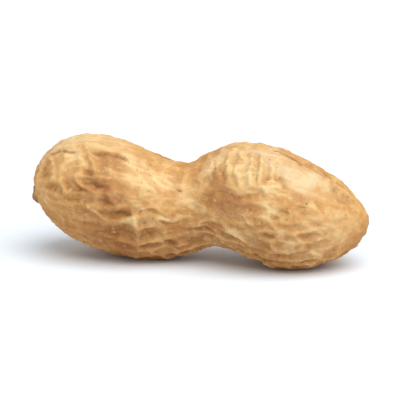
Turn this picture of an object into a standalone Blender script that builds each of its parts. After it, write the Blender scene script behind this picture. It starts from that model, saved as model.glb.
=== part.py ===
"""A whole peanut in its shell, lying on its side: one dry pod with a lobe for each of its two seeds.

Metres, +Z up. +X runs from the stem end to the beak. The origin is on the surface that the pod lies
on, under the middle of its bounding box.
"""

import math
from typing import NamedTuple

import bmesh
import bpy
from mathutils import Vector

MM = 0.001

# Stations along the pod, measured from the middle of the waist.
STEM_TIP = -22.0 * MM
BEAK_TIP = 20.9 * MM

# The whole pod leans: each point moves back along X by this share of its height over the axis.
LEAN = 0.35
# The axis bows sideways between the lobes, and sinks towards the beak.
SIDE_BOW = 0.55 * MM
BEAK_DROOP = 1.1 * MM

# Eleven raised veins run along the shell. The seam, where the two halves of the pod meet, is the tallest.
VEINS = 11
VEIN_HEIGHT = 0.22 * MM
VEIN_SHARPNESS = 3.0
VEIN_FADE = 0.7  # the lower, the nearer to the tips the veins keep their height
SEAM_HEIGHT = 0.30 * MM
SEAM_WIDTH = 0.16
SEAM_ANGLES = (1.95, 1.95 + math.pi)

# The scar where the stalk broke off: (radius, how far it stands out of the stem end) of each ring.
STALK_SCAR = ((1.25 * MM, 0.05 * MM), (0.95 * MM, 0.45 * MM), (0.60 * MM, 0.60 * MM))
STALK_SCAR_TIP = 0.50 * MM
# The beak is a low point on the other end.
BEAK_HEIGHT = 0.35 * MM
BEAK_RADIUS = 1.6 * MM

# What the shell is pressed flat by where each lobe rests.
REST_DEPTH = 0.30 * MM

RING_COUNT = 38
RING_POINTS = 66
SMOOTH_ANGLE = math.radians(35)

SHELL_COLOUR = (0.68, 0.44, 0.20, 1.0)
SHELL_ROUGHNESS = 0.86


class Outline(NamedTuple):
    """One lengthwise outline of the pod: where it is widest on each lobe, and how it runs between."""

    stem_lobe_at: float
    stem_lobe_radius: float
    waist_radius: float
    beak_lobe_at: float
    beak_lobe_radius: float
    stem_flank: float  # under 1, the outline turns sharply out of the waist; at 1, evenly
    beak_flank: float
    stem_fullness: float  # 2 is an elliptical end, and less is more pointed
    beak_fullness: float


CROWN = Outline(-12.1 * MM, 8.15 * MM, 4.80 * MM, 9.7 * MM, 8.20 * MM, 1.0, 0.62, 1.65, 1.60)
SIDE = Outline(-11.3 * MM, 8.05 * MM, 5.30 * MM, 9.3 * MM, 7.90 * MM, 0.8, 0.80, 1.85, 1.60)
BELLY = Outline(-10.5 * MM, 8.15 * MM, 5.80 * MM, 8.7 * MM, 8.05 * MM, 0.64, 1.0, 2.00, 1.40)


def outline_radius(outline, x):
    """The outline's distance from the axis at station x."""
    if x < outline.stem_lobe_at or x > outline.beak_lobe_at:
        stem = x < outline.stem_lobe_at
        start = outline.stem_lobe_at if stem else outline.beak_lobe_at
        tip = STEM_TIP if stem else BEAK_TIP
        radius = outline.stem_lobe_radius if stem else outline.beak_lobe_radius
        fullness = outline.stem_fullness if stem else outline.beak_fullness
        share = min((x - start) / (tip - start), 1.0)
        return radius * math.sqrt(1.0 - share**fullness)
    stem = x < 0.0
    lobe_at = outline.stem_lobe_at if stem else outline.beak_lobe_at
    radius = outline.stem_lobe_radius if stem else outline.beak_lobe_radius
    flank = outline.stem_flank if stem else outline.beak_flank
    rise = math.sin(0.5 * math.pi * (x / lobe_at) ** flank) ** 2
    return outline.waist_radius + (radius - outline.waist_radius) * rise


def turn_from(angle, other):
    """The smaller turn between two angles, never negative."""
    return abs((angle - other + math.pi) % (2.0 * math.pi) - math.pi)


def relief(x, angle):
    """How far the veins and the seam stand out of the shell, less towards both tips."""
    along = (x - STEM_TIP) / (BEAK_TIP - STEM_TIP)
    fade = math.sin(math.pi * along) ** VEIN_FADE
    vein = VEIN_HEIGHT * abs(math.cos(0.5 * VEINS * angle)) ** VEIN_SHARPNESS
    seam = sum(SEAM_HEIGHT * math.exp(-((turn_from(angle, at) / SEAM_WIDTH) ** 2)) for at in SEAM_ANGLES)
    return fade * (vein + seam)


def axis_at(x):
    """The middle of the pod's section at station x."""
    along = (x - STEM_TIP) / (BEAK_TIP - STEM_TIP)
    sink = max(0.0, x / BEAK_TIP) ** 2
    return Vector((x, SIDE_BOW * math.sin(2.0 * math.pi * along), -BEAK_DROOP * sink))


def leant(point):
    return Vector((point.x - LEAN * point.z, point.y, point.z))


def section_ring(x):
    """The shell's points around station x: half ellipses above and below, and the relief on them."""
    crown, side, belly = (outline_radius(o, x) for o in (CROWN, SIDE, BELLY))
    beak = BEAK_HEIGHT * math.exp(-((side / BEAK_RADIUS) ** 2)) if x > 0.0 else 0.0
    middle = axis_at(x) + Vector((beak, 0.0, 0.0))
    points = []
    for k in range(RING_POINTS):
        angle = 2.0 * math.pi * k / RING_POINTS
        height = crown if k < RING_POINTS / 2 else belly
        out = 1.0 + relief(x, angle) / side
        points.append(leant(middle + out * Vector((0.0, side * math.cos(angle), height * math.sin(angle)))))
    return points


def scar_ring(radius, out):
    """One ring of the broken stalk on the stem end."""
    middle = axis_at(STEM_TIP) - Vector((out, 0.0, 0.0))
    angles = (2.0 * math.pi * k / RING_POINTS for k in range(RING_POINTS))
    return [leant(middle + radius * Vector((0.0, math.cos(a), math.sin(a)))) for a in angles]


def pod_rings():
    """Every ring from the stem end to the beak, closer together towards the tips."""
    middle, half = 0.5 * (BEAK_TIP + STEM_TIP), 0.5 * (BEAK_TIP - STEM_TIP)
    stations = (middle - half * math.cos(math.pi * i / RING_COUNT) for i in range(1, RING_COUNT))
    rings = [scar_ring(radius, out) for radius, out in reversed(STALK_SCAR)]
    return rings + [section_ring(x) for x in stations]


def bridge(bm, ring, following):
    for k in range(len(ring)):
        after = (k + 1) % len(ring)
        bm.faces.new((ring[k], following[k], following[after], ring[after]))


def close_with_point(bm, ring, tip):
    """A fan of faces from a ring to one point."""
    point = bm.verts.new(tip)
    for k in range(len(ring)):
        bm.faces.new((ring[k], ring[(k + 1) % len(ring)], point))


def press_flat(bm):
    """Cuts the lobes off level a little above their lowest points, which leaves a flat spot on each."""
    lowest = min(v.co.z for v in bm.verts)
    geometry = bm.verts[:] + bm.edges[:] + bm.faces[:]
    level = Vector((0.0, 0.0, lowest + REST_DEPTH))
    cut = bmesh.ops.bisect_plane(
        bm, geom=geometry, plane_co=level, plane_no=Vector((0.0, 0.0, -1.0)), clear_outer=True
    )
    edges = [e for e in cut["geom_cut"] if isinstance(e, bmesh.types.BMEdge)]
    bmesh.ops.holes_fill(bm, edges=edges, sides=0)


def stand_on_origin(bm):
    """Moves the pod so that the middle of its bounding box is over the origin and its foot is at Z 0."""
    low = Vector(min(v.co[i] for v in bm.verts) for i in range(3))
    high = Vector(max(v.co[i] for v in bm.verts) for i in range(3))
    foot = Vector((0.5 * (low.x + high.x), 0.5 * (low.y + high.y), low.z))
    bmesh.ops.translate(bm, verts=bm.verts, vec=-foot)


def pod_mesh():
    bm = bmesh.new()
    rings = [[bm.verts.new(point) for point in ring] for ring in pod_rings()]
    for ring, following in zip(rings, rings[1:]):
        bridge(bm, ring, following)
    close_with_point(bm, rings[0], leant(axis_at(STEM_TIP) - Vector((STALK_SCAR_TIP, 0.0, 0.0))))
    close_with_point(bm, rings[-1], leant(axis_at(BEAK_TIP) + Vector((BEAK_HEIGHT, 0.0, 0.0))))
    press_flat(bm)
    stand_on_origin(bm)
    bmesh.ops.recalc_face_normals(bm, faces=bm.faces)
    mesh = bpy.data.meshes.new("peanut_pod")
    bm.to_mesh(mesh)
    bm.free()
    mesh.shade_smooth()
    mesh.set_sharp_from_angle(angle=SMOOTH_ANGLE)
    return mesh


def shell_material():
    material = bpy.data.materials.new("dry_shell")
    material.use_nodes = True
    shader = material.node_tree.nodes["Principled BSDF"]
    shader.inputs["Base Color"].default_value = SHELL_COLOUR
    shader.inputs["Roughness"].default_value = SHELL_ROUGHNESS
    shader.inputs["Metallic"].default_value = 0.0
    return material


def clear_scene():
    for old in list(bpy.data.objects):
        bpy.data.objects.remove(old, do_unlink=True)


def main():
    clear_scene()
    mesh = pod_mesh()
    mesh.materials.append(shell_material())
    bpy.context.scene.collection.objects.link(bpy.data.objects.new("peanut_pod", mesh))


main()
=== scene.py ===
"""A whole peanut in its shell, lying on its side on a pale floor.

The shell is one closed skin. Its form is a lobe for each of the two seeds, with a narrow waist between
them. A net of raised veins stands on that form: ribs that run from the stem end to the beak, and cross
veins that tie them together, with a hollow in every mesh of the net.

Lengths on the pod are in millimetres and the angles in its tables in degrees. A station is measured
along the pod from the middle of its waist, towards the beak. An angle is measured round the pod from its
far side over the top, so 90 is the top, 180 the near side and 270 the underside.
"""

import math
import random
from typing import NamedTuple

import bpy
import numpy as np
from mathutils import Euler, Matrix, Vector, noise


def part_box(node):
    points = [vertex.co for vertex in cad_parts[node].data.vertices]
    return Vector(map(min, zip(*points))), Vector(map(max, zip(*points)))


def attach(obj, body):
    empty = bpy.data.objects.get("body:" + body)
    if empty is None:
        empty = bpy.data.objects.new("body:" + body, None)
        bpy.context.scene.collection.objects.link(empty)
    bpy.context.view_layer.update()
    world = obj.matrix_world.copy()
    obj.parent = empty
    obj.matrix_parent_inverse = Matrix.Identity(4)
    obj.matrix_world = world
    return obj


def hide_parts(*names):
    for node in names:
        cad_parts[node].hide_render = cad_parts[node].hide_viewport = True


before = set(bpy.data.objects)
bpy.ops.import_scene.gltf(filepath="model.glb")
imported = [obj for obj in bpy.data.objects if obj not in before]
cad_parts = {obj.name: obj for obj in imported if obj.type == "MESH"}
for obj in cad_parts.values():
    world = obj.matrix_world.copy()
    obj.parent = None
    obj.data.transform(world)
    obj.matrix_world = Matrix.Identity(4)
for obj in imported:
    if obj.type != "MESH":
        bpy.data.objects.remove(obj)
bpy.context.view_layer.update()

MM = 0.001

# ---------------------------------------------------------------------------- the pod's form

STEM_TIP = -22.0
BEAK_TIP = 20.9
LEAN = 0.35  # how far a point moves back along the pod for each millimetre of its height
SIDE_BOW = 0.55
BEAK_DROOP = 1.1
BEAK_HEIGHT = 0.35
BEAK_RADIUS = 1.6
# How far the lowest points of the bare form would sink into the floor: the shell is pressed flat there.
PRESSED_IN = 0.22
PRESS_SOFTNESS = 0.05
MERIDIAN_POINTS = 4001


class Outline(NamedTuple):
    """One lengthwise outline of the pod, as its distance from the axis."""

    stem_lobe_at: float
    stem_lobe_radius: float
    waist_radius: float
    beak_lobe_at: float
    beak_lobe_radius: float
    stem_flank: float  # under 1, the outline turns sharply out of the waist; at 1, evenly
    beak_flank: float
    stem_fullness: float  # 2 is an elliptical end, and less is more pointed
    beak_fullness: float


CROWN = Outline(-12.1, 8.15, 4.80, 9.7, 8.20, 1.0, 0.62, 1.65, 1.60)
SIDE = Outline(-11.3, 8.05, 5.30, 9.3, 7.90, 0.8, 0.80, 1.85, 1.60)
BELLY = Outline(-10.5, 8.15, 5.80, 8.7, 8.05, 0.64, 1.0, 2.00, 1.40)


def outline_radius(outline, x):
    """The outline's distance from the axis at every station in x."""
    stem = x < 0.0
    lobe_at = np.where(stem, outline.stem_lobe_at, outline.beak_lobe_at)
    radius = np.where(stem, outline.stem_lobe_radius, outline.beak_lobe_radius)
    flank = np.where(stem, outline.stem_flank, outline.beak_flank)
    tip = np.where(stem, STEM_TIP, BEAK_TIP)
    fullness = np.where(stem, outline.stem_fullness, outline.beak_fullness)
    rise = np.sin(0.5 * np.pi * np.clip(x / lobe_at, 0.0, 1.0) ** flank) ** 2
    share = np.clip((x - lobe_at) / (tip - lobe_at), 0.0, 1.0)
    inner = outline.waist_radius + (radius - outline.waist_radius) * rise
    return np.where(share > 0.0, radius * np.sqrt(1.0 - share**fullness), inner)


def form_points(x, angle):
    """Points of the bare form, before the net is raised on it. Angles are in radians here."""
    crown, side, belly = (outline_radius(o, x) for o in (CROWN, SIDE, BELLY))
    height = np.where(np.sin(angle) >= 0.0, crown, belly)
    along = (x - STEM_TIP) / (BEAK_TIP - STEM_TIP)
    beak = np.where(x > 0.0, BEAK_HEIGHT * np.exp(-((side / BEAK_RADIUS) ** 2)), 0.0)
    sink = np.maximum(0.0, x / BEAK_TIP) ** 2
    points = np.empty((len(x), 3))
    points[:, 2] = height * np.sin(angle) - BEAK_DROOP * sink
    points[:, 1] = side * np.cos(angle) + SIDE_BOW * np.sin(2.0 * np.pi * along)
    points[:, 0] = x + beak - LEAN * points[:, 2]
    return points


class Meridian(NamedTuple):
    """A lengthwise line over the shell: distance walked from the stem tip, station and radius."""

    walked: np.ndarray
    station: np.ndarray
    radius: np.ndarray


def side_meridian():
    """The line over the side of the pod, closer together at the tips."""
    turn = np.linspace(0.0, math.pi, MERIDIAN_POINTS)
    x = 0.5 * (BEAK_TIP + STEM_TIP) - 0.5 * (BEAK_TIP - STEM_TIP) * np.cos(turn)
    radius = outline_radius(SIDE, x)
    walked = np.concatenate(([0.0], np.cumsum(np.hypot(np.diff(x), np.diff(radius)))))
    return Meridian(walked, x, radius)


# ---------------------------------------------------------------------------- the skin's mesh

# Each tip is covered by a square grid pulled round, so no faces crowd together at the tips. The
# grids' edges are the first and last of the rings between them. The reach is walked from the tip.
CAP_FACES = 85
RINGS = 248
CAP_REACH = 8.0


def cap_disc():
    """The square grid pulled out to a disc: for each point, its share of the way out and its angle."""
    edge = np.linspace(-1.0, 1.0, CAP_FACES + 1)
    p, q = np.meshgrid(edge, edge, indexing="ij")
    x = math.sqrt(2.0) * np.sin(0.25 * math.pi * p)
    y = math.sqrt(2.0) * np.sin(0.25 * math.pi * q)
    u = x * np.sqrt(1.0 - 0.5 * y * y)
    v = y * np.sqrt(1.0 - 0.5 * x * x)
    return np.hypot(u, v).ravel(), np.arctan2(v, u).ravel()


def cap_rim():
    """Indices of the grid's edge points, in order round the pod."""
    n, wide = CAP_FACES, CAP_FACES + 1
    low = [i * wide for i in range(n)]
    right = [n * wide + j for j in range(n)]
    high = [i * wide + n for i in range(n, 0, -1)]
    left = list(range(n, 0, -1))
    return np.array(low + right + high + left)


def skin_layout(meridian):
    """Every skin point as (distance walked, angle), and the skin's faces."""
    out, angle = cap_disc()
    rim = cap_rim()
    length = meridian.walked[-1]
    per_cap, columns = len(out), len(rim)
    ring_walk = np.linspace(CAP_REACH, length - CAP_REACH, RINGS + 1)[1:-1]
    walked = np.concatenate((CAP_REACH * out, np.repeat(ring_walk, columns), length - CAP_REACH * out))
    angles = np.concatenate((angle, np.tile(angle[rim], RINGS - 1), angle))
    rings = [rim]
    rings += [per_cap + columns * j + np.arange(columns) for j in range(RINGS - 1)]
    beak_cap = per_cap + columns * (RINGS - 1)
    rings.append(beak_cap + rim)
    grid = np.arange(per_cap).reshape(CAP_FACES + 1, CAP_FACES + 1)
    square = [grid[:-1, :-1], grid[1:, :-1], grid[1:, 1:], grid[:-1, 1:]]
    stem_faces = np.stack([corner.ravel() for corner in reversed(square)], axis=1)
    beak_faces = np.stack([corner.ravel() for corner in square], axis=1) + beak_cap
    side_faces = [
        np.stack((ring, np.roll(ring, -1), np.roll(after, -1), after), axis=1)
        for ring, after in zip(rings, rings[1:])
    ]
    return walked, angles, np.concatenate([stem_faces, *side_faces, beak_faces])


# ---------------------------------------------------------------------------- the net of veins


class Rib(NamedTuple):
    """A raised vein that runs from the stem end to the beak."""

    angle: float
    height: float  # share of a cross vein's full height
    width: float


SEAM_ANGLE = 111.7
RIBS = (
    Rib(16.0, 0.90, 0.44),
    Rib(38.0, 0.80, 0.40),
    Rib(61.0, 0.90, 0.44),
    Rib(86.0, 0.75, 0.42),
    Rib(SEAM_ANGLE, 1.00, 0.55),
    Rib(150.5, 1.00, 0.50),
    Rib(165.0, 0.55, 0.34),
    Rib(177.0, 0.60, 0.30),
    Rib(189.0, 0.85, 0.30),
    Rib(200.0, 0.40, 0.28),
    Rib(212.5, 1.00, 0.32),
    Rib(226.0, 0.85, 0.32),
    Rib(238.0, 0.90, 0.34),
    Rib(253.0, 0.85, 0.38),
    Rib(271.0, 0.80, 0.40),
    Rib(SEAM_ANGLE + 180.0, 1.00, 0.55),
    Rib(314.0, 0.90, 0.44),
    Rib(335.0, 0.80, 0.40),
    Rib(355.5, 0.95, 0.44),
)
# A rib wanders to either side in waves of (swing in degrees, length), and sinks and rises in others.
RIB_WAVES = ((2.25, 13.0), (0.99, 6.1))
RIB_SWELL_LENGTHS = (17.0, 7.3, 4.1)
RIB_MEAN_HEIGHT = 0.72
RIB_SWELL = 0.55
RIB_LEAST_HEIGHT = 0.2


class Vein(NamedTuple):
    """A cross vein: where it leaves the rib before it, and how it slants and bends on its way over."""

    at: float
    slant: float
    bend: float
    height: float


# Cross veins that are listed one by one, by the number of the rib before their gap. The rest are scattered.
SEAM_GAP = 4
SET_VEINS = {
    SEAM_GAP: [Vein(at, -0.55, 0.1, 0.95) for at in (33.0, 34.4, 35.8, 37.3, 38.9, 40.5)],
    6: [Vein(18.6, -0.2, 0.0, 0.9)],
    7: [Vein(18.2, -0.2, 0.1, 0.95)],
    8: [Vein(17.7, -0.2, 0.0, 1.0)],
    9: [Vein(17.2, -0.2, 0.0, 0.95)],
    10: [Vein(16.7, -0.1, 0.1, 0.9)],
}
SET_VEIN_CLEARANCE = 1.1
# Scattered veins stay this far from both tips, and the first of a gap starts a little further in.
VEINS_FROM_TIP = 3.0
FIRST_VEIN_SCATTER = 1.5
# They stand closer together in a wide gap between ribs than in a narrow one.
WIDE_GAP = 2.6
WIDE_GAP_SPACING = (1.6, 2.7)
NARROW_GAP_SPACING = (2.2, 4.6)
VEIN_SLANT = 0.5
VEIN_BEND = 0.5
VEIN_HEIGHTS = (0.35, 1.0)

NET_SEED = 5
VEIN_WIDTH = 0.46
VEIN_SHOULDER = 0.95
VEIN_TOP_SHARE = 0.62  # how much of a vein's height is its narrow top, and not its shoulder
HOLLOW_EDGE = 0.42
# Most hollows are shallow and a few are deep: least share of the full depth, what chance adds, and how
# rare the deep ones are.
HOLLOW_LEAST = 0.15
HOLLOW_SPREAD = 1.3
HOLLOW_RARITY = 1.7
SOIL_BY_DEPTH = 0.5  # how much of the soil in a hollow goes by its depth, and not by chance


def rib_angle(rib, walked, chance):
    """The rib's angle in radians where it passes each point: it wanders a little to either side."""
    wander = np.zeros_like(walked)
    for swing, length in RIB_WAVES:
        start = chance.uniform(0.0, 2.0 * math.pi)
        wander += chance.uniform(0.5, 1.0) * swing * np.sin(2.0 * math.pi * walked / length + start)
    return np.radians(rib.angle + wander)


def rib_height(rib, walked, chance):
    """The rib's height along its length: it sinks and rises again."""
    swell = np.zeros_like(walked)
    for length in RIB_SWELL_LENGTHS:
        wave = np.sin(2.0 * math.pi * (walked / length + chance.random()))
        swell += wave / len(RIB_SWELL_LENGTHS)
    return rib.height * np.clip(RIB_MEAN_HEIGHT + RIB_SWELL * swell, RIB_LEAST_HEIGHT, 1.0)


def crest(distance, width):
    """A rounded rib: a narrow top on a broad shoulder."""
    top = np.exp(-((distance / width) ** 2))
    shoulder = np.exp(-((distance / VEIN_SHOULDER) ** 2))
    return VEIN_TOP_SHARE * top + (1.0 - VEIN_TOP_SHARE) * shoulder


def cross_veins(chance, gap, gap_width, length):
    """The cross veins of one gap between ribs, from the stem end to the beak."""
    set_veins = SET_VEINS.get(gap, [])
    veins = list(set_veins)
    at = VEINS_FROM_TIP + chance.uniform(0.0, FIRST_VEIN_SCATTER)
    spacing = WIDE_GAP_SPACING if gap_width > WIDE_GAP else NARROW_GAP_SPACING
    while at < length - VEINS_FROM_TIP:
        slant = chance.gauss(0.0, VEIN_SLANT)
        bend = chance.uniform(-VEIN_BEND, VEIN_BEND)
        vein = Vein(at, slant, bend, chance.uniform(*VEIN_HEIGHTS))
        if all(abs(at - other.at) > SET_VEIN_CLEARANCE for other in set_veins):
            veins.append(vein)
        at += chance.uniform(*spacing)
    return sorted(veins)


def gap_relief(chance, gap, share, width, walked, length):
    """The cross veins' height, the hollow's depth and the soil caught, at the points of one gap.

    The share is how far each point is from the rib before the gap to the rib after it.
    """
    veins = cross_veins(chance, gap, float(np.max(width)), length)
    bow = 4.0 * share * (1.0 - share)
    lines = np.stack([v.at + v.slant * (share - 0.5) * 2.0 + v.bend * bow for v in veins], axis=1)
    away = np.abs(walked[:, None] - lines)
    heights = np.array([v.height for v in veins])
    low = np.prod(1.0 - heights * crest(away, VEIN_WIDTH), axis=1)

    cells = range(len(veins) + 1)
    cell = np.sum(lines < walked[:, None], axis=1)
    depths = np.array([HOLLOW_LEAST + HOLLOW_SPREAD * chance.random() ** HOLLOW_RARITY for _ in cells])
    soils = SOIL_BY_DEPTH * depths + np.array([(1.0 - SOIL_BY_DEPTH) * chance.random() for _ in cells])
    inside = 1.0 - np.exp(-((away.min(axis=1) / HOLLOW_EDGE) ** 2))
    rib_away = np.minimum(share, 1.0 - share) * width
    inside *= 1.0 - np.exp(-((rib_away / HOLLOW_EDGE) ** 2))
    return 1.0 - low, depths[cell] * inside, soils[cell] * inside


def net_relief(walked, angle, radius, length):
    """The net's height (0 to 1), the hollows between its veins, and the soil caught in them."""
    chance = random.Random(NET_SEED)
    lines = [rib_angle(rib, walked, chance) for rib in RIBS]
    heights = [rib_height(rib, walked, chance) for rib in RIBS]
    veins = np.zeros_like(walked)
    hollow = np.zeros_like(walked)
    soil = np.zeros_like(walked)
    low = np.ones_like(walked)
    full = 2.0 * math.pi
    for i, rib in enumerate(RIBS):
        after = (i + 1) % len(RIBS)
        gap = (lines[after] - lines[i]) % full
        past = (angle - lines[i]) % full
        here = past < gap
        share = past[here] / gap[here]
        width = gap[here] * radius[here]
        in_gap = gap_relief(chance, i, share, width, walked[here], length)
        veins[here], hollow[here], soil[here] = in_gap
        away = np.abs((angle - lines[i] + math.pi) % full - math.pi) * radius
        low *= 1.0 - heights[i] * crest(away, rib.width)
    return 1.0 - low * (1.0 - veins), hollow, soil


# ---------------------------------------------------------------------------- patches and marks


class Patch(NamedTuple):
    """A soft-edged patch of shell: station, angle, half length, half width in degrees, and amount."""

    station: float
    angle: float
    length: float
    width: float
    amount: float


# Where the net lies low and where it stands out.
SMOOTH_PATCHES = (
    Patch(-12.0, 95.0, 6.0, 28.0, 0.85),
    Patch(-4.0, 130.0, 4.2, 28.0, 0.85),
    Patch(15.2, 121.0, 3.2, 24.0, 0.85),
    Patch(13.5, 166.0, 5.0, 16.0, 0.60),
    Patch(0.5, 172.0, 3.0, 30.0, 0.45),
    Patch(-15.0, 132.0, 3.5, 24.0, 0.60),
    Patch(-5.0, 92.0, 6.0, 30.0, 0.70),
    Patch(9.5, 88.0, 6.0, 20.0, 0.60),
    Patch(-12.0, 70.0, 7.0, 20.0, 0.55),
    Patch(9.5, 68.0, 7.0, 20.0, 0.55),
    Patch(18.5, 190.0, 2.6, 60.0, 0.35),
)
STRONG_PATCHES = (
    Patch(9.6, 130.0, 3.8, 22.0, 0.30),
    Patch(-8.0, 205.0, 7.5, 32.0, 0.50),
    Patch(-11.0, 150.0, 2.6, 24.0, 0.45),
    Patch(7.0, 222.0, 6.5, 26.0, 0.45),
)
# Where soil has stained the shell brown (with painted shadow on the stem lobe's lower side), where it is
# chalky, the single cells of the net that hold soil or painted shadow, and where the shell is pale: partly
# bleached and partly painted highlight.
STAINS_AND_SHADOW = (
    Patch(4.8, 166.5, 3.6, 15.0, 0.95),
    Patch(4.5, 143.0, 1.4, 13.0, 0.75),
    Patch(-10.4, 161.0, 3.2, 17.0, 0.75),
    Patch(-8.8, 132.0, 1.7, 9.0, 0.75),
    # Partly painted shadow: this brown patch also darkens the stem lobe's lower side as if a neighbouring
    # pod shaded it.
    Patch(-12.2, 210.0, 4.0, 24.0, 0.90),
    Patch(-2.6, 216.0, 3.0, 12.0, 0.55),
    Patch(12.4, 163.5, 2.0, 6.0, 0.30),
    Patch(14.3, 152.0, 1.4, 6.0, 0.40),
    Patch(11.5, 40.0, 3.5, 16.0, 0.6),
    Patch(-8.0, 20.0, 3.0, 18.0, 0.7),
    Patch(-14.0, 330.0, 3.5, 22.0, 0.6),
    Patch(6.0, 320.0, 3.5, 20.0, 0.5),
    Patch(-3.0, 70.0, 2.0, 18.0, 0.4),
)
CHALKY_PATCHES = (
    Patch(15.2, 127.0, 3.6, 16.0, 0.80),
    Patch(11.0, 112.0, 2.6, 9.0, 0.60),
    Patch(4.6, 110.0, 2.0, 10.0, 0.45),
    Patch(-14.5, 104.0, 5.0, 14.0, 0.35),
)
SOILED_AND_SHADED_CELLS = (
    Patch(2.3, 163.5, 1.0, 6.0, 0.30),
    Patch(7.2, 161.0, 1.4, 2.6, 0.45),
    Patch(8.0, 170.0, 0.5, 4.5, 0.35),
    # On the stem lobe's lower side these cells are partly painted shadow.
    Patch(-12.8, 214.0, 1.6, 8.0, 1.0),
    Patch(-12.0, 145.5, 1.2, 3.0, 0.7),
    Patch(-10.6, 170.5, 1.0, 9.0, 0.5),
    Patch(-11.2, 157.5, 1.0, 2.5, 0.4),
    Patch(-9.3, 182.0, 1.4, 4.0, 1.0),
    Patch(-7.5, 179.0, 0.9, 5.0, 0.8),
    Patch(-12.2, 203.0, 1.7, 7.0, 1.0),
    Patch(-5.4, 180.5, 0.8, 3.0, 0.7),
    Patch(-10.1, 201.5, 1.7, 5.5, 1.0),
    Patch(-11.5, 220.5, 1.8, 5.5, 0.9),
    Patch(-7.7, 220.5, 1.3, 4.0, 0.7),
    Patch(-6.6, 202.0, 1.0, 4.0, 0.5),
    Patch(-4.8, 220.5, 0.9, 5.0, 0.7),
    Patch(-3.6, 201.0, 1.2, 4.0, 0.6),
    Patch(-0.5, 205.5, 1.9, 3.5, 0.7),
    Patch(-1.3, 224.5, 1.3, 4.5, 0.9),
    Patch(7.4, 186.0, 1.3, 3.2, 0.7),
    Patch(9.2, 194.5, 1.2, 3.8, 1.0),
    Patch(6.3, 199.0, 1.0, 3.0, 0.4),
    Patch(6.8, 213.0, 1.2, 4.0, 0.8),
    Patch(9.7, 217.0, 1.2, 4.5, 0.8),
    Patch(14.5, 171.0, 0.7, 3.0, 0.4),
    Patch(8.6, 27.0, 1.3, 6.0, 0.8),
    Patch(-11.5, 50.0, 1.4, 6.0, 0.7),
    Patch(-13.2, 8.0, 1.3, 6.0, 0.9),
    Patch(-6.2, 345.0, 1.2, 6.0, 0.8),
    Patch(12.5, 345.0, 1.4, 6.0, 0.7),
    Patch(-10.0, 262.0, 1.6, 5.0, 0.7),
    Patch(8.0, 283.0, 1.5, 5.0, 0.7),
)
# Pale shell: partly bleached, partly painted highlight, and painted light where the relief would be in
# shade.
PALE_AND_HIGHLIGHT_PATCHES = (
    Patch(-4.3, 141.0, 4.0, 21.0, 0.9),
    Patch(-13.0, 95.0, 6.5, 24.0, 0.8),
    Patch(-14.3, 126.0, 2.4, 15.0, 0.8),
    Patch(3.8, 124.0, 1.8, 16.0, 1.0),
    Patch(0.6, 146.0, 1.5, 9.0, 0.7),
    Patch(15.4, 160.0, 1.5, 6.0, 0.6),
    Patch(9.9, 165.0, 1.2, 9.0, 0.6),
    Patch(-0.3, 165.0, 1.3, 14.0, 0.7),
    Patch(-6.2, 196.0, 1.2, 4.0, 0.7),
    Patch(13.5, 219.0, 2.2, 8.0, 0.6),
    Patch(10.0, 105.0, 5.5, 24.0, 0.7),
    Patch(9.8, 132.0, 4.2, 13.0, 1.0),
    # Painted light on the ridge's lower flank, where the relief is in shade.
    Patch(9.8, 151.5, 3.8, 5.0, 0.9),
    Patch(15.0, 127.0, 3.2, 15.0, 1.0),
    Patch(16.5, 192.0, 3.5, 26.0, 0.5),
    Patch(11.4, 198.0, 1.8, 5.0, 0.8),
    Patch(-6.6, 119.0, 1.2, 14.0, 0.9),
    Patch(-6.3, 178.0, 1.0, 9.0, 0.7),
    Patch(-3.6, 186.5, 1.6, 5.0, 0.9),
    Patch(-9.0, 191.5, 2.6, 3.5, 0.8),
    Patch(4.8, 202.0, 1.8, 8.0, 0.7),
    Patch(5.3, 177.0, 1.1, 6.0, 0.5),
    Patch(2.3, 190.0, 1.0, 6.0, 0.5),
    Patch(14.9, 167.0, 1.2, 6.0, 0.5),
    Patch(-0.9, 217.0, 2.6, 2.6, 0.6),
    # Painted bounce light from the floor, low on the beak lobe.
    Patch(11.5, 207.0, 2.6, 8.0, 0.3),
)


class Mark(NamedTuple):
    """A crack, pit or fold along a line of (station, angle) points."""

    line: tuple
    width: float
    depth: float
    darkness: float


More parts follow.
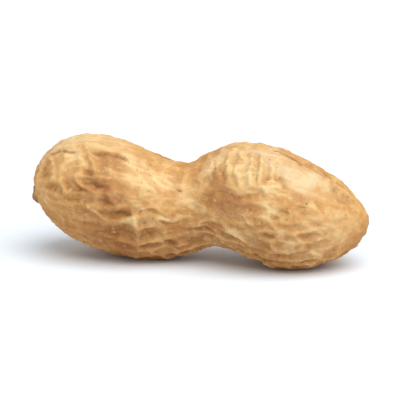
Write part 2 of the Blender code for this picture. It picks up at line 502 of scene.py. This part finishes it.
LONG_CRACK = ((12.1, 100.0), (12.8, 98.6), (13.3, 100.2), (14.1, 100.4), (14.6, 103.0), (15.2, 105.6))
MARKS = (
    Mark(LONG_CRACK, 0.17, 0.16, 0.85),
    Mark(((15.9, 106.5), (16.7, 109.5), (17.6, 110.5)), 0.15, 0.12, 0.6),
    Mark(((-17.5, 112.5), (-16.8, 115.5), (-16.1, 116.0)), 0.17, 0.14, 0.75),
    Mark(((-15.6, 117.0), (-14.9, 120.5), (-14.0, 121.0)), 0.17, 0.14, 0.75),
    Mark(((-10.6, 123.5), (-9.2, 121.0), (-7.3, 119.5)), 0.34, 0.22, 0.80),
    Mark(((-1.3, 150.5), (-1.1, 150.8)), 0.20, 0.14, 0.85),
    Mark(((12.0, 169.0), (12.4, 171.0)), 0.24, 0.12, 0.60),
    Mark(((10.3, 175.0), (10.8, 177.0)), 0.26, 0.13, 0.65),
    Mark(((14.2, 163.0), (14.7, 164.0)), 0.20, 0.10, 0.55),
    Mark(((6.3, 229.0), (7.2, 231.0), (8.4, 230.0)), 0.20, 0.14, 0.75),
    Mark(((-12.6, 144.0), (-12.0, 147.5)), 0.34, 0.18, 0.55),
    Mark(((-11.5, 158.0), (-10.8, 160.0)), 0.36, 0.18, 0.50),
    Mark(((-10.9, 171.0), (-10.0, 173.0)), 0.30, 0.15, 0.50),
    Mark(((9.0, 62.0), (11.5, 58.0), (12.6, 60.0)), 0.18, 0.16, 0.75),
    Mark(((-9.5, 35.0), (-8.2, 32.0), (-7.6, 33.5)), 0.20, 0.16, 0.75),
    Mark(((-15.0, 5.0), (-13.6, 7.5)), 0.26, 0.16, 0.70),
    Mark(((4.0, 10.0), (5.4, 12.5), (6.3, 11.0)), 0.18, 0.15, 0.75),
    Mark(((13.5, 325.0), (14.8, 322.0)), 0.24, 0.16, 0.70),
)


# How steeply a patch falls off at its edge: the higher, the crisper.
SOFT_EDGE = 1.5
CELL_EDGE = 2.0
STAIN_AND_SHADOW_EDGE = 3.2
MARK_HALO = 1.25  # a mark's dark edge is this many times as wide as the cut


def turn_from(angle, degrees):
    """The turn to each angle from a line at so many degrees round the pod: -180 to 180 degrees."""
    return (np.degrees(angle) - degrees + 180.0) % 360.0 - 180.0


def patch_amount(patches, place, crispness=SOFT_EDGE):
    """How strongly the strongest patch acts at each (station, angle), 0 to 1."""
    station, angle = place
    strongest = np.zeros_like(station)
    for patch in patches:
        turn = turn_from(angle, patch.angle)
        reach = ((station - patch.station) / patch.length) ** 2 + (turn / patch.width) ** 2
        strongest = np.maximum(strongest, patch.amount * np.exp(-(reach**crispness)))
    return strongest


def distance_to_line(line, place, radius):
    """The distance over the shell from each (station, angle) to a mark's line."""
    station, angle = place
    nearest = np.full_like(station, np.inf)
    for (from_station, from_angle), (to_station, to_angle) in zip(line, line[1:]):
        across = radius * np.radians(turn_from(angle, from_angle))
        here = np.stack((station - from_station, across))
        run_along = (to_station - from_station) * np.ones_like(station)
        run = np.stack((run_along, radius * math.radians(to_angle - from_angle)))
        share = np.clip((here * run).sum(axis=0) / (run * run).sum(axis=0), 0.0, 1.0)
        nearest = np.minimum(nearest, np.hypot(*(here - share * run)))
    return nearest


def marks_on_shell(place, radius):
    """How deep the marks cut in, in millimetres, and how dark they are."""
    depth = np.zeros_like(radius)
    dark = np.zeros_like(radius)
    for mark in MARKS:
        away = distance_to_line(mark.line, place, radius) / mark.width
        depth = np.maximum(depth, mark.depth * np.exp(-(away**2)))
        dark = np.maximum(dark, mark.darkness * np.exp(-((away / MARK_HALO) ** 2)))
    return depth, dark


# ---------------------------------------------------------------------------- noise on the shell


class Lumps(NamedTuple):
    """A layer of smooth noise: how high it stands, how large its lumps are, and where it starts from."""

    height: float
    size: float
    seed: float


# What is drawn on the shell is shifted by this noise, so no line is straight and no patch is round. Each
# amount is the shift in millimetres where the noise is 1.
SHIFT_ALONG = (Lumps(1.0, 3.1, 11.0), Lumps(0.5, 1.0, 11.0))
SHIFT_ROUND = (Lumps(1.0, 3.1, 37.0), Lumps(0.5, 1.0, 37.0))
NET_SHIFT_ALONG = 0.60
NET_SHIFT_ROUND = 0.32
SOFT_PATCH_SHIFT = 1.6
CRISP_PATCH_SHIFT = 0.6
MARK_SHIFT = 0.4
LEAST_RADIUS = 2.0  # holds back the shift round the pod at the tips

BROAD_LUMPS = (Lumps(0.20, 6.0, 71.0), Lumps(0.14, 2.4, 91.0))
FINE_LUMPS = (Lumps(0.10, 1.1, 17.0), Lumps(0.07, 0.5, 23.0))
NET_PATCHINESS = (Lumps(1.0, 7.0, 3.0),)
RAGGEDNESS = (Lumps(1.0, 0.8, 5.0),)
WRINKLES = (Lumps(1.0, 1.0, 41.0),)


def lumps_at(points, layers):
    """The height of some layers of noise at each point, about zero."""
    height = 0.0
    for layer in layers:
        spots = (points / layer.size + layer.seed).tolist()
        height = height + layer.height * np.array([noise.noise(spot) for spot in spots])
    return height


def smooth_step(low, high, value):
    """0 at the low value and 1 at the high one, with a soft rise between. Low may be the larger."""
    share = np.clip((value - low) / (high - low), 0.0, 1.0)
    return share * share * (3.0 - 2.0 * share)


# ---------------------------------------------------------------------------- building the shell

# How strong the net is: its mean, what it keeps where it is faint, and its most.
NET_MEAN = 0.66
NET_LEAST = 0.3
NET_MOST = 1.15
NET_HEIGHT = 0.46
NET_LEVEL = 0.6  # the share of its height at which the net lies level with the bare form
HOLLOW_DEPTH = 0.26
CELL_DEPTH = 0.22
WRINKLE_HEIGHT = 0.10
WRINKLE_STRETCH = 0.45
WRINKLE_SHARPNESS = 3.2
WRINKLE_TILT = Euler((0.60, 0.50, 0.90))  # keeps the noise's own grid from lining up with the pod
# What a smooth patch takes away from the broad lumps and from the wrinkles.
SMOOTHED_LUMPS = 0.5
SMOOTHED_WRINKLES = 0.6

# Towards a tip the relief fades out. Each fade is (where it is gone, where it is full), as distances
# from the stem tip and from the beak tip.
NET_FADES = ((1.2, 4.6), (0.4, 3.6))
WRINKLE_FADES = ((1.3, 3.5), (0.2, 2.0))
BEAK_LUMP_FADE = (0.8, 8.0)

# The scar where the stalk broke off is a ragged collar round a dip, with folds that run in to it.
# Each edge is (where it starts to fall, where it ends), as distances from the stem tip.
COLLAR_HEIGHT = 0.62
COLLAR_EDGE = (0.95, 1.45)
COLLAR_LOBES = 3.0
COLLAR_LOBE_SIZE = 0.10
COLLAR_LOBES_TURNED = 0.6  # radians
COLLAR_RAGGED_EDGE = 0.30
COLLAR_RAGGED_TOP = 0.5
DIP_DEPTH = 0.75
DIP_EDGE = (0.25, 0.80)
FOLDS = 11.0
FOLD_HEIGHT = 0.10
FOLD_WAVER = 2.0
FOLDS_AT = 2.3
FOLDS_REACH = 1.1
SCAR_STAIN_EDGE = (1.0, 1.7)
SCAR_STAIN_RAGGED = 0.5
SCAR_PIT_EDGE = (0.25, 0.9)
SCAR_PIT_RAGGED = 0.4

# The underside's painted shade comes in between these heights, as sines of the angle.
UNDERSIDE_SHADE_HEIGHTS = (0.30, -0.60)
UNDERSIDE_SHADE_SHIFT = 0.35  # radians where the noise is 1
# Fibres run along the shell: their pattern is long that way and narrow round it.
FIBRES_ALONG = 0.2
FIBRES_ROUND = 8.0


class Skin(NamedTuple):
    """The skin's points on the bare form."""

    form: np.ndarray
    walked: np.ndarray  # distance over the shell from the stem tip
    to_beak: np.ndarray  # distance over the shell to the beak tip
    length: float
    station: np.ndarray
    angle: np.ndarray
    radius: np.ndarray
    shift: np.ndarray  # the noise that shifts what is drawn, along the pod and round it

    def turned(self, amount):
        """The angles, shifted by so many millimetres of noise."""
        return self.angle + amount * self.shift[:, 1] / np.maximum(self.radius, LEAST_RADIUS)

    def place(self, amount):
        """The stations and angles, shifted by so many millimetres of noise."""
        return self.station + amount * self.shift[:, 0], self.turned(amount)

    def fade(self, at_stem, at_beak):
        """1 on the lobes and 0 at the tips."""
        return smooth_step(*at_stem, self.walked) * smooth_step(*at_beak, self.to_beak)


def bare_skin(pod_length):
    """The bare form, as long as the frame's pod, with its foot just under Z 0. Also gives the faces."""
    meridian = side_meridian()
    walked, angle, faces = skin_layout(meridian)
    length = meridian.walked[-1]
    station = np.interp(walked, meridian.walked, meridian.station)
    radius = np.interp(walked, meridian.walked, meridian.radius)
    form = form_points(station, angle)
    centre = 0.5 * (form.min(axis=0) + form.max(axis=0))
    form -= np.array([centre[0], centre[1], form[:, 2].min() + PRESSED_IN])
    form *= pod_length / np.ptp(form[:, 0])
    shift = np.stack([lumps_at(form, layers) for layers in (SHIFT_ALONG, SHIFT_ROUND)], axis=1)
    return Skin(form, walked, length - walked, length, station, angle, radius, shift), faces


def stalk_scar(skin, ragged):
    """How far the stalk's scar and its folds stand out of the stem end."""
    lobing = 1.0 + COLLAR_LOBE_SIZE * np.cos(COLLAR_LOBES * skin.angle + COLLAR_LOBES_TURNED)
    rim = skin.walked * lobing + COLLAR_RAGGED_EDGE * ragged
    collar = (COLLAR_HEIGHT + COLLAR_RAGGED_TOP * ragged) * (1.0 - smooth_step(*COLLAR_EDGE, rim))
    dip = DIP_DEPTH * (1.0 - smooth_step(*DIP_EDGE, rim))
    folds = FOLD_HEIGHT * np.cos(FOLDS * skin.angle + FOLD_WAVER * ragged)
    folds *= np.exp(-(((skin.walked - FOLDS_AT) / FOLDS_REACH) ** 2))
    return collar - dip + folds


def wrinkles_at(form):
    """Fine sharp wrinkles, 0 to 1, drawn out along the pod."""
    stretched = form * np.array([WRINKLE_STRETCH, 1.0, 1.0])
    tilted = stretched @ np.array(WRINKLE_TILT.to_matrix())
    return 1.0 - np.minimum(1.0, WRINKLE_SHARPNESS * np.abs(lumps_at(tilted, WRINKLES)))


def skin_mesh(points, faces):
    mesh = bpy.data.meshes.new("pod_shell")
    mesh.from_pydata((points * MM).tolist(), [], faces.tolist())
    mesh.shade_smooth()
    return mesh


def skin_normals(mesh, count):
    normals = np.empty(3 * count)
    mesh.vertices.foreach_get("normal", normals)
    return normals.reshape(-1, 3)


def pressed_flat(points, foot):
    """The points with the lowest ones pressed up to a flat spot, and that spot set on the foot's level."""
    height = points[:, 2]
    points[:, 2] = 0.5 * (height + np.sqrt(height**2 + PRESS_SOFTNESS**2))
    points[:, 2] += foot - points[:, 2].min()
    return points


def add_masks(mesh, masks):
    """Stores one value for each point of the skin, for the material to read."""
    for name, values in masks.items():
        layer = mesh.attributes.new(name, "FLOAT", "POINT")
        layer.data.foreach_set("value", values.astype(np.float32))


def add_fibre_run(mesh, skin):
    """Stores where each point lies along and round the shell, for the fibres' pattern."""
    round_pod = (FIBRES_ROUND * np.cos(skin.angle), FIBRES_ROUND * np.sin(skin.angle))
    run = np.stack((FIBRES_ALONG * skin.walked, *round_pod), axis=1)
    layer = mesh.attributes.new("fibre_run", "FLOAT_VECTOR", "POINT")
    layer.data.foreach_set("vector", run.astype(np.float32).ravel())


def build_shell(low, high):
    """The pod's closed skin with its net, marks and scar, and the masks for its colours."""
    size = (Vector(high) - Vector(low)) / MM
    skin, faces = bare_skin(size.x)
    mesh = skin_mesh(skin.form, faces)
    normals = skin_normals(mesh, len(skin.form))

    net_walk = skin.walked + NET_SHIFT_ALONG * skin.shift[:, 0]
    net, hollow, soil = net_relief(net_walk, skin.turned(NET_SHIFT_ROUND), skin.radius, skin.length)
    soft_place = skin.place(SOFT_PATCH_SHIFT)
    crisp_place = skin.place(CRISP_PATCH_SHIFT)
    cells = patch_amount(SOILED_AND_SHADED_CELLS, crisp_place, CELL_EDGE)
    smooth = patch_amount(SMOOTH_PATCHES, soft_place)
    ends = skin.fade(*NET_FADES)
    strength = np.clip(NET_MEAN + lumps_at(skin.form, NET_PATCHINESS), NET_LEAST, 1.0) * (1.0 - smooth)
    strength += patch_amount(STRONG_PATCHES, soft_place)
    strength = np.clip(strength, 0.0, NET_MOST) * ends
    wrinkles = wrinkles_at(skin.form)
    ragged = lumps_at(skin.form, RAGGEDNESS)
    cut, dark = marks_on_shell(skin.place(MARK_SHIFT), skin.radius)

    broad = lumps_at(skin.form, BROAD_LUMPS) * smooth_step(*BEAK_LUMP_FADE, skin.to_beak)
    creased = skin.fade(*WRINKLE_FADES) * (1.0 - SMOOTHED_WRINKLES * smooth)
    relief = strength * (NET_HEIGHT * (net - NET_LEVEL) - HOLLOW_DEPTH * hollow)
    relief += ends * (1.0 - SMOOTHED_LUMPS * smooth) * broad
    relief += lumps_at(skin.form, FINE_LUMPS) + creased * WRINKLE_HEIGHT * (wrinkles - 0.5)
    relief += stalk_scar(skin, ragged) - cut - CELL_DEPTH * cells
    points = pressed_flat(skin.form + normals * relief[:, None], low[2] / MM)
    mesh.vertices.foreach_set("co", (points * MM).ravel())
    mesh.update()

    under = np.sin(skin.angle + UNDERSIDE_SHADE_SHIFT * skin.shift[:, 0])
    masks = {
        "net": net * np.minimum(strength, 1.0),
        "hollow": (1.0 - net) * strength,
        "soil": soil * strength,
        "stain_and_shadow": patch_amount(STAINS_AND_SHADOW, crisp_place, STAIN_AND_SHADOW_EDGE),
        "cell": cells,
        "wrinkle": wrinkles,
        "pale": patch_amount(PALE_AND_HIGHLIGHT_PATCHES, soft_place),
        "chalky": patch_amount(CHALKY_PATCHES, soft_place),
        "mark": dark,
        "scar": 1.0 - smooth_step(*SCAR_STAIN_EDGE, skin.walked + SCAR_STAIN_RAGGED * ragged),
        "scar_pit": 1.0 - smooth_step(*SCAR_PIT_EDGE, skin.walked + SCAR_PIT_RAGGED * ragged),
        # Painted shade: where the underside is coloured darker.
        "underside": smooth_step(*UNDERSIDE_SHADE_HEIGHTS, under),
    }
    add_masks(mesh, masks)
    add_fibre_run(mesh, skin)
    return mesh


# ---------------------------------------------------------------------------- the dry shell's material

STRAW_DARK = (0.545, 0.260, 0.080)
STRAW = (0.645, 0.346, 0.120)
STRAW_LIGHT = (0.74, 0.452, 0.178)
RIB_STRAW = (0.81, 0.55, 0.248)
PALE_STRAW = (0.88, 0.655, 0.34)
CHALK = (0.72, 0.545, 0.33)
# Painted shade: the underside is coloured darker and more orange, for the shade under the pod.
SHADED_UNDERSIDE_BROWN = (0.45, 0.158, 0.036)
# Brown for soil, also used for the partly painted shadow in the cells.
SOIL_AND_SHADOW_BROWN = (0.27, 0.105, 0.028)
STAIN_AND_SHADOW_BROWN = (0.39, 0.165, 0.062)
SPECK_BROWN = (0.17, 0.07, 0.022)
CRACK_BROWN = (0.24, 0.10, 0.03)
SCAR_BROWN = (0.33, 0.15, 0.055)


class Pattern(NamedTuple):
    """A noise pattern: its lumps to the millimetre, and how finely and roughly they are broken up."""

    scale: float
    detail: float
    rough: float = 0.5
    distortion: float = 0.0


COLOUR_PATTERNS = {
    "mottle": Pattern(0.32, 4.0, 0.6),
    "blotches": Pattern(0.9, 3.0, 0.6, 0.4),
    "grit": Pattern(2.6, 3.0, 0.6),
    "crumbs": Pattern(1.5, 4.0, 0.7),
    "specks": Pattern(1.9, 2.0),
    "speckled_areas": Pattern(0.23, 2.0),
}
FIBRES = Pattern(2.4, 4.0, 0.65, 0.3)
MATTNESS = Pattern(1.1, 2.0)
STRAW_STOPS = ((0.34, STRAW_DARK), (0.50, STRAW), (0.66, STRAW_LIGHT))


class Coat(NamedTuple):
    """A colour that lies over part of the shell.

    Its share is the thin one where the pattern is at the low value, and the thick one where it is at
    the high value. The pattern may be a mask too. A further mask keeps the coat to its own places.
    """

    colour: tuple
    pattern: str
    low: float
    high: float
    thin: float
    thick: float
    mask: str = ""
    left_where_pale: float = 1.0  # the share of the coat that is left where the pale mask lies


# From the first coat laid on to the last.
COATS = (
    # Painted shade: darker, more orange straw over the underside.
    Coat(SHADED_UNDERSIDE_BROWN, "mottle", 0.25, 0.70, 0.85, 0.45, "underside"),
    # Pale straw: partly the shell's own pale patches, partly painted highlight.
    Coat(PALE_STRAW, "blotches", 0.30, 0.60, 0.72, 1.00, "pale"),
    Coat(RIB_STRAW, "grit", 0.30, 0.70, 0.10, 0.75, "net"),
    Coat(SOIL_AND_SHADOW_BROWN, "blotches", 0.35, 0.65, 0.15, 0.75, "hollow", 0.3),
    Coat(SOIL_AND_SHADOW_BROWN, "grit", 0.30, 0.65, 0.25, 0.90, "soil", 0.3),
    # Brown of stains, and on the stem lobe's lower side partly painted shadow.
    Coat(STAIN_AND_SHADOW_BROWN, "grit", 0.25, 0.65, 0.60, 0.95, "stain_and_shadow"),
    # Soil in single cells, on the stem lobe's lower side partly painted shadow.
    Coat(SOIL_AND_SHADOW_BROWN, "grit", 0.30, 0.65, 0.50, 0.90, "cell"),
    Coat(STRAW_DARK, "wrinkle", 0.50, 0.00, 0.00, 0.40),
    Coat(STRAW_DARK, "fibres", 0.52, 0.75, 0.00, 0.45),
    Coat(SOIL_AND_SHADOW_BROWN, "crumbs", 0.54, 0.80, 0.00, 0.40),
    Coat(PALE_STRAW, "crumbs", 0.48, 0.22, 0.00, 0.45),
    Coat(CHALK, "blotches", 0.30, 0.60, 0.60, 1.00, "chalky"),
    Coat(SPECK_BROWN, "speckled_areas", 0.42, 0.60, 0.10, 0.75, "dots"),
    Coat(CRACK_BROWN, "grit", 0.25, 0.60, 0.45, 1.00, "mark"),
    Coat(SCAR_BROWN, "grit", 0.30, 0.60, 0.60, 1.00, "scar"),
    Coat(SPECK_BROWN, "grit", 0.30, 0.60, 0.40, 0.90, "scar_pit"),
)
# Stored masks. The first set holds the underside's painted shade and the partly painted highlight of the
# pale patches.
GROWN_AND_SHADING_MASKS = ("underside", "pale", "net", "hollow", "wrinkle", "chalky")
# The second set holds worn marks, with the partly painted shadow of the brown patches and cells.
WORN_AND_SHADOW_MASKS = ("soil", "stain_and_shadow", "cell", "mark", "scar", "scar_pit")
DOT_EDGE = (0.66, 0.74)  # only the peaks of the specks' pattern are dots


class Bump(NamedTuple):
    """Fine relief that is too small for the mesh: its height in millimetres, and how strongly it shows."""

    height: float
    strength: float


GRAIN_PATTERN = Pattern(5.0, 3.0, 0.6)
GRAIN_BUMP = Bump(0.06, 0.5)
CRUMB_PATTERN = Pattern(1.9, 3.0, 0.6)
CRUMB_BUMP = Bump(0.14, 0.5)
FIBRE_BUMP = Bump(0.12, 0.6)

# The roughness runs from the first to the second as the mattness pattern does.
MATTNESS_RANGE = (0.3, 0.7)
ROUGHNESS_RANGE = (0.92, 0.68)
SHELL_SHINE = 0.2


class ShellNodes:
    """Adds nodes to one material and joins them."""

    def __init__(self, material):
        material.use_nodes = True
        self.tree = material.node_tree
        self.shader = self.tree.nodes["Principled BSDF"]

    def join(self, source, target):
        self.tree.links.new(source, target)

    def stored(self, name, output="Fac"):
        """What the skin's points store under a name: a mask, or a place when the output is Vector."""
        node = self.tree.nodes.new("ShaderNodeAttribute")
        node.attribute_name = name
        return node.outputs[output]

    def millimetres(self):
        """The place on the shell in millimetres."""
        where = self.tree.nodes.new("ShaderNodeTexCoord")
        scaled = self.tree.nodes.new("ShaderNodeMapping")
        scaled.inputs["Scale"].default_value = (1.0 / MM, 1.0 / MM, 1.0 / MM)
        self.join(where.outputs["Object"], scaled.inputs["Vector"])
        return scaled.outputs["Vector"]

    def noise(self, place, pattern):
        node = self.tree.nodes.new("ShaderNodeTexNoise")
        node.inputs["Scale"].default_value = pattern.scale
        node.inputs["Detail"].default_value = pattern.detail
        node.inputs["Roughness"].default_value = pattern.rough
        node.inputs["Distortion"].default_value = pattern.distortion
        self.join(place, node.inputs["Vector"])
        return node.outputs["Fac"]

    def spread(self, value, low, high, to_low=0.0, to_high=1.0):
        """A value's range from low to high, softly carried over to another range."""
        node = self.tree.nodes.new("ShaderNodeMapRange")
        node.interpolation_type = "SMOOTHSTEP"
        for name, number in zip(("From Min", "From Max", "To Min", "To Max"), (low, high, to_low, to_high)):
            node.inputs[name].default_value = number
        self.join(value, node.inputs["Value"])
        return node.outputs["Result"]

    def times(self, first, second):
        node = self.tree.nodes.new("ShaderNodeMath")
        node.operation = "MULTIPLY"
        node.use_clamp = True
        self.join(first, node.inputs[0])
        self.join(second, node.inputs[1])
        return node.outputs["Value"]

    def ramp(self, value, stops):
        node = self.tree.nodes.new("ShaderNodeValToRGB")
        while len(node.color_ramp.elements) < len(stops):
            node.color_ramp.elements.new(0.5)
        for element, (at, colour) in zip(node.color_ramp.elements, stops):
            element.position = at
            element.color = (*colour, 1.0)
        self.join(value, node.inputs["Fac"])
        return node.outputs["Color"]

    def blend(self, base, colour, share):
        node = self.tree.nodes.new("ShaderNodeMix")
        node.data_type = "RGBA"
        node.inputs["B"].default_value = (*colour, 1.0)
        self.join(share, node.inputs["Factor"])
        self.join(base, node.inputs["A"])
        return node.outputs["Result"]

    def bump(self, pattern, bump, under=None):
        node = self.tree.nodes.new("ShaderNodeBump")
        node.inputs["Distance"].default_value = bump.height * MM
        node.inputs["Strength"].default_value = bump.strength
        self.join(pattern, node.inputs["Height"])
        if under is not None:
            self.join(under, node.inputs["Normal"])
        return node.outputs["Normal"]


def shell_colour(n, place, fibres):
    """Straw that goes from dark to light, with every coat on it."""
    sources = {name: n.noise(place, pattern) for name, pattern in COLOUR_PATTERNS.items()}
    sources |= {name: n.stored(name) for name in GROWN_AND_SHADING_MASKS + WORN_AND_SHADOW_MASKS}
    sources["fibres"] = fibres
    sources["dots"] = n.spread(sources["specks"], *DOT_EDGE)
    colour = n.ramp(sources["mottle"], STRAW_STOPS)
    for coat in COATS:
        share = n.spread(sources[coat.pattern], coat.low, coat.high, coat.thin, coat.thick)
        if coat.mask:
            share = n.times(sources[coat.mask], share)
        if coat.left_where_pale < 1.0:
            share = n.times(share, n.spread(sources["pale"], 0.0, 1.0, 1.0, coat.left_where_pale))
        colour = n.blend(colour, coat.colour, share)
    return colour


def shell_material():
    material = bpy.data.materials.new("dry_shell")
    n = ShellNodes(material)
    place = n.millimetres()
    fibres = n.noise(n.stored("fibre_run", "Vector"), FIBRES)
    n.join(shell_colour(n, place, fibres), n.shader.inputs["Base Color"])
    mattness = n.spread(n.noise(place, MATTNESS), *MATTNESS_RANGE, *ROUGHNESS_RANGE)
    n.join(mattness, n.shader.inputs["Roughness"])
    n.shader.inputs["Specular IOR Level"].default_value = SHELL_SHINE
    grain = n.bump(n.noise(place, GRAIN_PATTERN), GRAIN_BUMP)
    crumbs = n.bump(n.noise(place, CRUMB_PATTERN), CRUMB_BUMP, grain)
    n.join(n.bump(fibres, FIBRE_BUMP, crumbs), n.shader.inputs["Normal"])
    return material


# ---------------------------------------------------------------------------- the scene

# Lengths are in metres here, apart from the lens and its sensor, which are in millimetres.
FLOOR_HALF = 6.0
FLOOR_COLOUR = (0.83, 0.895, 0.96)
FLOOR_ROUGHNESS = 0.9
WALL_LIGHT = 0.58
TOP_LIGHT = 2.50
TOP_LIGHT_TOWARDS = (0.40, -0.40, 1.0)
TOP_LIGHT_SPAN = 60.0  # the angle in degrees that the lamp fills: the wider, the softer its shadows
CAMERA_TURN = 10.0  # degrees round the pod from straight in front, towards the beak
CAMERA_RISE = 14.0  # degrees over the floor
CAMERA_AWAY = 0.22  # from the middle of the pod
CAMERA_LENS = 150.0
CAMERA_SENSOR = 36.0
CAMERA_CLIP = (0.01, 50.0)


def add_floor():
    half = FLOOR_HALF
    corners = [(-half, -half, 0.0), (half, -half, 0.0), (half, half, 0.0), (-half, half, 0.0)]
    mesh = bpy.data.meshes.new("floor")
    mesh.from_pydata(corners, [], [(0, 1, 2, 3)])
    floor = bpy.data.objects.new("floor", mesh)
    bpy.context.scene.collection.objects.link(floor)
    material = bpy.data.materials.new("pale_floor")
    material.use_nodes = True
    shader = material.node_tree.nodes["Principled BSDF"]
    shader.inputs["Base Color"].default_value = (*FLOOR_COLOUR, 1.0)
    shader.inputs["Roughness"].default_value = FLOOR_ROUGHNESS
    shader.inputs["Specular IOR Level"].default_value = 0.0
    mesh.materials.append(material)


def add_top_light():
    """A large soft lamp, far away over the near side of the pod."""
    lamp = bpy.data.lights.new("top_light", "SUN")
    lamp.angle = math.radians(TOP_LIGHT_SPAN)
    lamp.energy = TOP_LIGHT
    light = bpy.data.objects.new("top_light", lamp)
    light.rotation_euler = (-Vector(TOP_LIGHT_TOWARDS)).to_track_quat("-Z", "Y").to_euler()
    bpy.context.scene.collection.objects.link(light)


def add_world():
    """White all round. It shows at full strength, and lights the pod at a lower one."""
    world = bpy.data.worlds.new("studio")
    world.use_nodes = True
    nodes, links = world.node_tree.nodes, world.node_tree.links
    background = nodes["Background"]
    background.inputs["Color"].default_value = (1.0, 1.0, 1.0, 1.0)
    path = nodes.new("ShaderNodeLightPath")
    strength = nodes.new("ShaderNodeMapRange")
    strength.inputs["To Min"].default_value = WALL_LIGHT
    strength.inputs["To Max"].default_value = 1.0
    links.new(path.outputs["Is Camera Ray"], strength.inputs["Value"])
    links.new(strength.outputs["Result"], background.inputs["Strength"])
    bpy.context.scene.world = world


def add_camera(target):
    """A long lens a little over the floor, turned to the target."""
    camera = bpy.data.cameras.new("camera")
    camera.lens = CAMERA_LENS
    camera.sensor_width = CAMERA_SENSOR
    camera.clip_start, camera.clip_end = CAMERA_CLIP
    turn, rise = math.radians(CAMERA_TURN), math.radians(CAMERA_RISE)
    back = Vector((math.sin(turn) * math.cos(rise), -math.cos(turn) * math.cos(rise), math.sin(rise)))
    holder = bpy.data.objects.new("camera", camera)
    holder.location = Vector(target) + CAMERA_AWAY * back
    holder.rotation_euler = (-back).to_track_quat("-Z", "Y").to_euler()
    bpy.context.scene.collection.objects.link(holder)
    bpy.context.scene.camera = holder


def main():
    low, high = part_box("peanut_pod")
    mesh = build_shell(low, high)
    mesh.materials.append(shell_material())
    pod = bpy.data.objects.new("pod_shell", mesh)
    bpy.context.scene.collection.objects.link(pod)
    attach(pod, "root")
    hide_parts("peanut_pod")
    add_floor()
    add_top_light()
    add_world()
    add_camera(0.5 * (Vector(low) + Vector(high)))
    bpy.context.scene.view_settings.view_transform = "Standard"


main()
